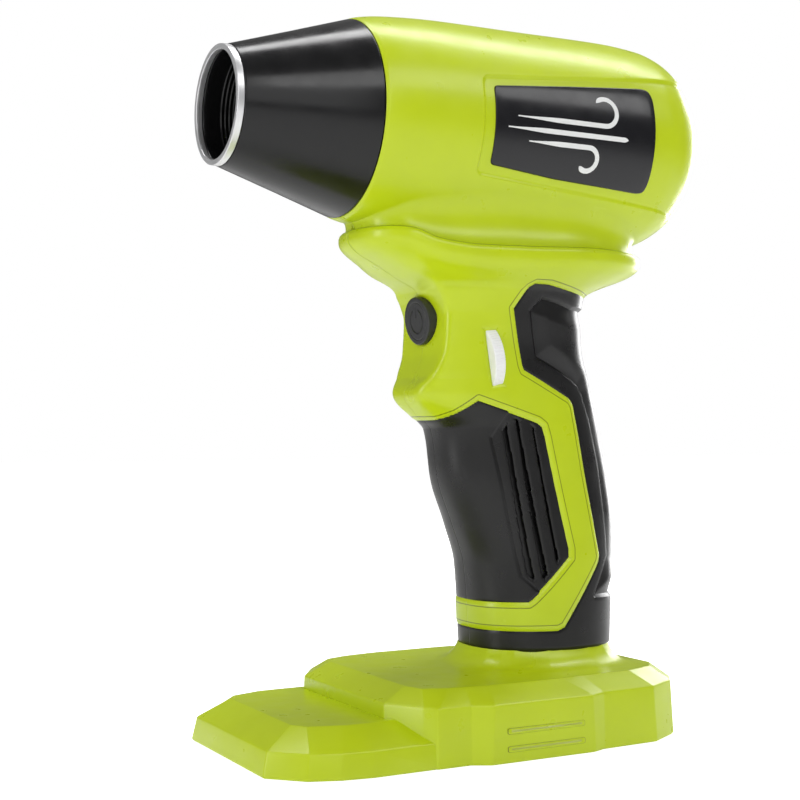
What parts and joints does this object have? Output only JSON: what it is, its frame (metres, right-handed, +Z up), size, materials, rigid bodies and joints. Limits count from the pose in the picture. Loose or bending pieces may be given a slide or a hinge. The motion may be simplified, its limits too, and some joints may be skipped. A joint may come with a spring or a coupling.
{
  "type": "leaf blower",
  "caption": "Cordless hair-dryer-shaped turbofan leaf blower: nozzle cone, ducted fan in a barrel, pistol grip with power button and speed wheel, and a slide-on battery foot.",
  "frame": {"origin": "middle of the bounding box's base, on the surface the battery foot stands on", "axes": "+Z up, -X is where the nozzle points, -Y is the left side with the speed wheel"},
  "size_m": [0.1436, 0.082, 0.2037],
  "materials": {
    "lime_plastic": "satin moulded ABS, fine spark-eroded texture",
    "black_plastic": "satin-gloss black moulding",
    "soft_grip": "soft-touch overmoulded elastomer",
    "plate": null,
    "silver_ring": "fine turned aluminium",
    "white_plastic": "satin white moulding",
    "steel": "turned steel",
    "brass": "stamped brass",
    "aluminium": "extruded aluminium",
    "copper_winding": "enamelled copper winding on steel laminations",
    "circuit_board": "green solder-resist laminate",
    "filter_mesh": "fine woven mesh",
    "red_insulation": "red wire insulation",
    "grey_plastic": "grey glass-filled nylon",
    "rubber": "black rubber"
  },
  "bodies": {
    "housing": {"barrel_screw_1": "steel", "barrel_screw_2": "steel", "barrel_shell_left": "lime_plastic", "barrel_shell_right": "lime_plastic", "battery_guide": "black_plastic", "battery_wire_negative": "rubber", "battery_wire_positive": "red_insulation", "bearing_front": "steel", "bearing_rear": "steel", "board_heatsink": "aluminium", "button_switch": "grey_plastic", "capacitor": "black_plastic", "contact_blade_1": "brass", "contact_blade_2": "brass", "contact_blade_3": "brass", "control_board": "circuit_board", "duct_gasket_front": "rubber", "duct_gasket_rear": "rubber", "dust_filter": "filter_mesh", "fan_duct": "grey_plastic", "foot_screw_1": "steel", "foot_screw_2": "steel", "foot_screw_3": "steel", "foot_screw_4": "steel", "foot_shell": "lime_plastic", "grip_front_left": "soft_grip", "grip_front_right": "soft_grip", "grip_rear_left": "soft_grip", "grip_rear_right": "soft_grip", "handle_screw_1": "steel", "handle_screw_2": "steel", "handle_screw_3": "steel", "handle_screw_4": "steel", "handle_shell_left": "lime_plastic", "handle_shell_right": "lime_plastic", "intake_grille": "black_plastic", "motor_can": "steel", "motor_end_bell": "aluminium", "mouth_ring": "silver_ring", "name_plate_left": "plate", "name_plate_right": "plate", "nozzle_cone": "black_plastic", "palm_pad_left": "soft_grip", "palm_pad_right": "soft_grip", "phase_wire_1": "rubber", "phase_wire_2": "red_insulation", "phase_wire_3": "grey_plastic", "stator_core": "copper_winding", "stator_vanes": "grey_plastic", "switch_board": "circuit_board", "tail_cone": "grey_plastic", "terminal_block": "grey_plastic", "wheel_pot": "grey_plastic"},
    "fan": {"impeller": "grey_plastic", "spinner": "grey_plastic", "motor_shaft": "steel", "rotor_magnet": "steel"},
    "wheel": {"speed_wheel": "white_plastic", "wheel_spindle": "brass"},
    "button": {"power_button": "black_plastic"}
  },
  "joints": [
    {"name": "fan_spin", "type": "hinge", "parent": "housing", "child": "fan", "pos_m": [0.04575, 0, 0.1724], "axis": [1, 0, 0], "continuous": true},
    {"name": "speed_wheel_turn", "type": "hinge", "parent": "housing", "child": "wheel", "pos_m": [0.00545, -0.0077, 0.10673], "axis": [0.9877, 0, 0.1564], "range_deg": [0, 270]},
    {"name": "power_button_press", "type": "slide", "parent": "housing", "child": "button", "axis": [0.9903, 0, 0.1392], "range_m": [0, 0.0015], "stiffness_N_per_m": 900, "springref_m": -0.0008}
  ]
}
